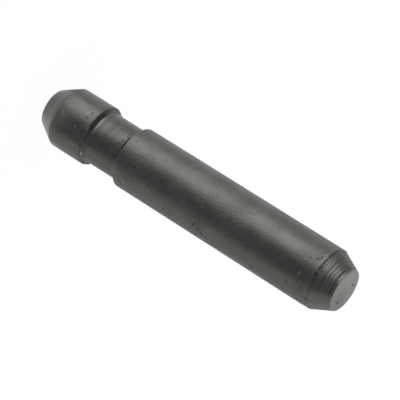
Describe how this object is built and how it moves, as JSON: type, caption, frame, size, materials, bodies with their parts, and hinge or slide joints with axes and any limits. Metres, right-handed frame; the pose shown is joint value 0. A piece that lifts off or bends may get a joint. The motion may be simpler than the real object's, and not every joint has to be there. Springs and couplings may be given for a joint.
{
  "type": "bucket tooth pin",
  "caption": "Turned steel pin that holds a digging tooth on its adapter, with a lead cone at each end and a groove near one end for a spring retainer.",
  "frame": {"origin": "centre of the flat face at the grooved end, which the pin stands on", "axes": "+Z along the pin's axis, from the grooved end to the plain end; +X and +Y are any two directions across it"},
  "size_m": [0.02, 0.02, 0.112],
  "materials": {
    "blackened_steel": "turned, hardened and blackened in oil, satin dark grey"
  },
  "bodies": {
    "root": {"tooth_pin": "blackened_steel"}
  },
  "joints": []
}
